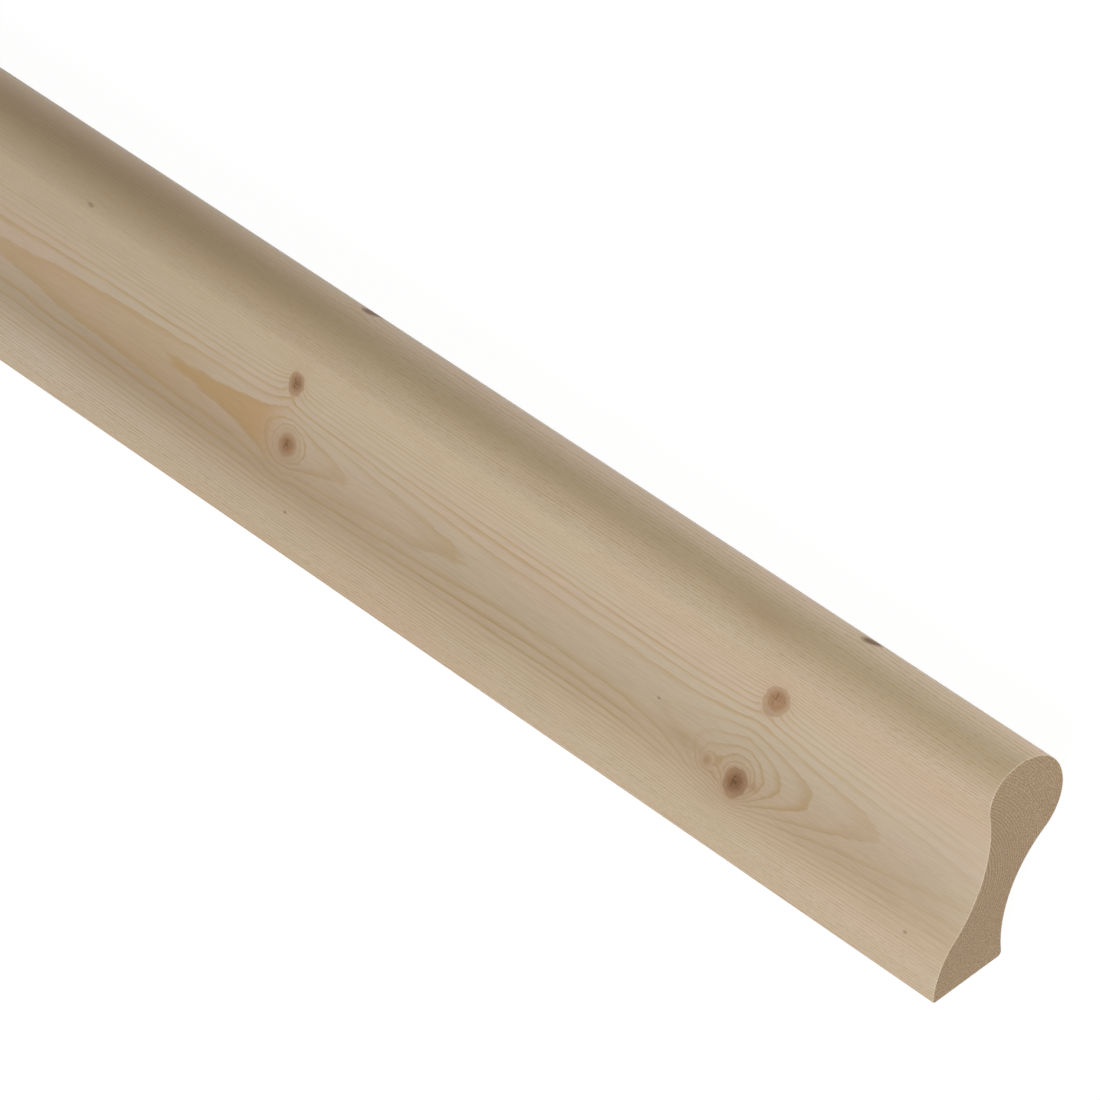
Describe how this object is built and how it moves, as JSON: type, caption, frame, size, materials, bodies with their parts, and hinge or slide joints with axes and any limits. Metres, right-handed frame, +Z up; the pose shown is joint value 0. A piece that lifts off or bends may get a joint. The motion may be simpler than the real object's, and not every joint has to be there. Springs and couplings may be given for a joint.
{
  "type": "pigs ear handrail",
  "caption": "Straight wall handrail of solid softwood: flat back, waisted neck and a round grip set over to one side.",
  "frame": {"origin": "on the floor under the middle of the rail's box as it lies, tipped on to the back's rear edge and the grip", "axes": "+X along the rail's length, towards the sawn end that the picture shows; +Y across it, towards the grip; +Z up from the floor"},
  "size_m": [2.4, 0.082, 0.0323],
  "materials": {
    "softwood": "planed, bare"
  },
  "bodies": {
    "root": {"handrail": "softwood"}
  },
  "joints": []
}
